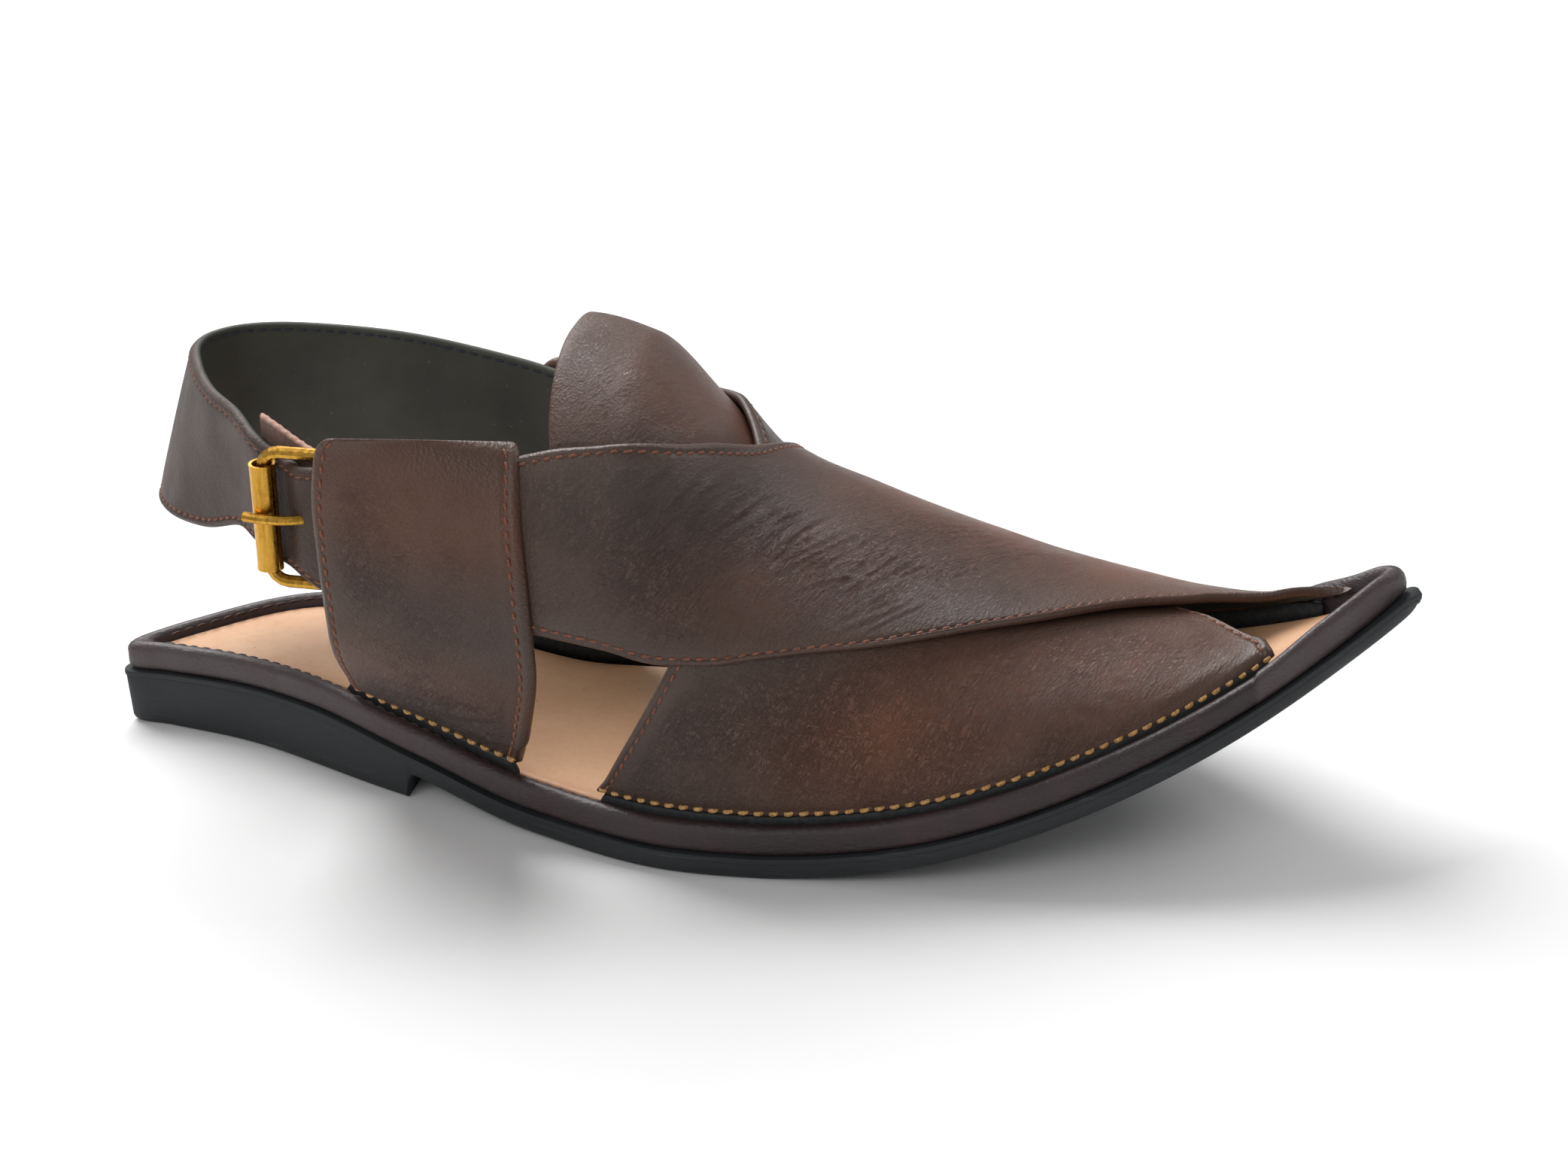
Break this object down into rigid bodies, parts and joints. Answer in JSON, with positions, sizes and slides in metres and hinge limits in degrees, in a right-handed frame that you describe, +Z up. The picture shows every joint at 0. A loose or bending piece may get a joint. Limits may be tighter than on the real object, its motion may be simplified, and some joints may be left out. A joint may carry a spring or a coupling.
{
  "type": "leather sandal",
  "caption": "Right-foot peshawari leather sandal with crossed vamp straps, side bands, an instep tongue and a buckled heel strap on a rubber sole.",
  "frame": {"origin": "on the ground, under the middle of the sole's length and width", "axes": "+X from the heel to the toe, +Y to the medial (inner) side of the right foot, +Z up from the ground"},
  "size_m": [0.2998, 0.102, 0.1067],
  "materials": {
    "rubber_black": "matte",
    "leather_plum": "semi-gloss, grained",
    "leather_tan": "matte",
    "leather_brown": "semi-gloss, grained and creased",
    "leather_raw": "matte, fibrous",
    "brass": "worn satin"
  },
  "bodies": {
    "root": {"outsole": "rubber_black", "midsole_welt": "leather_plum", "insole": "leather_tan", "upper": "leather_brown", "tongue": "leather_brown", "heel_strap": "leather_brown", "buckle_guard": "leather_raw", "buckle_frame": "brass", "buckle_roller": "brass", "buckle_prong": "brass"}
  },
  "joints": []
}
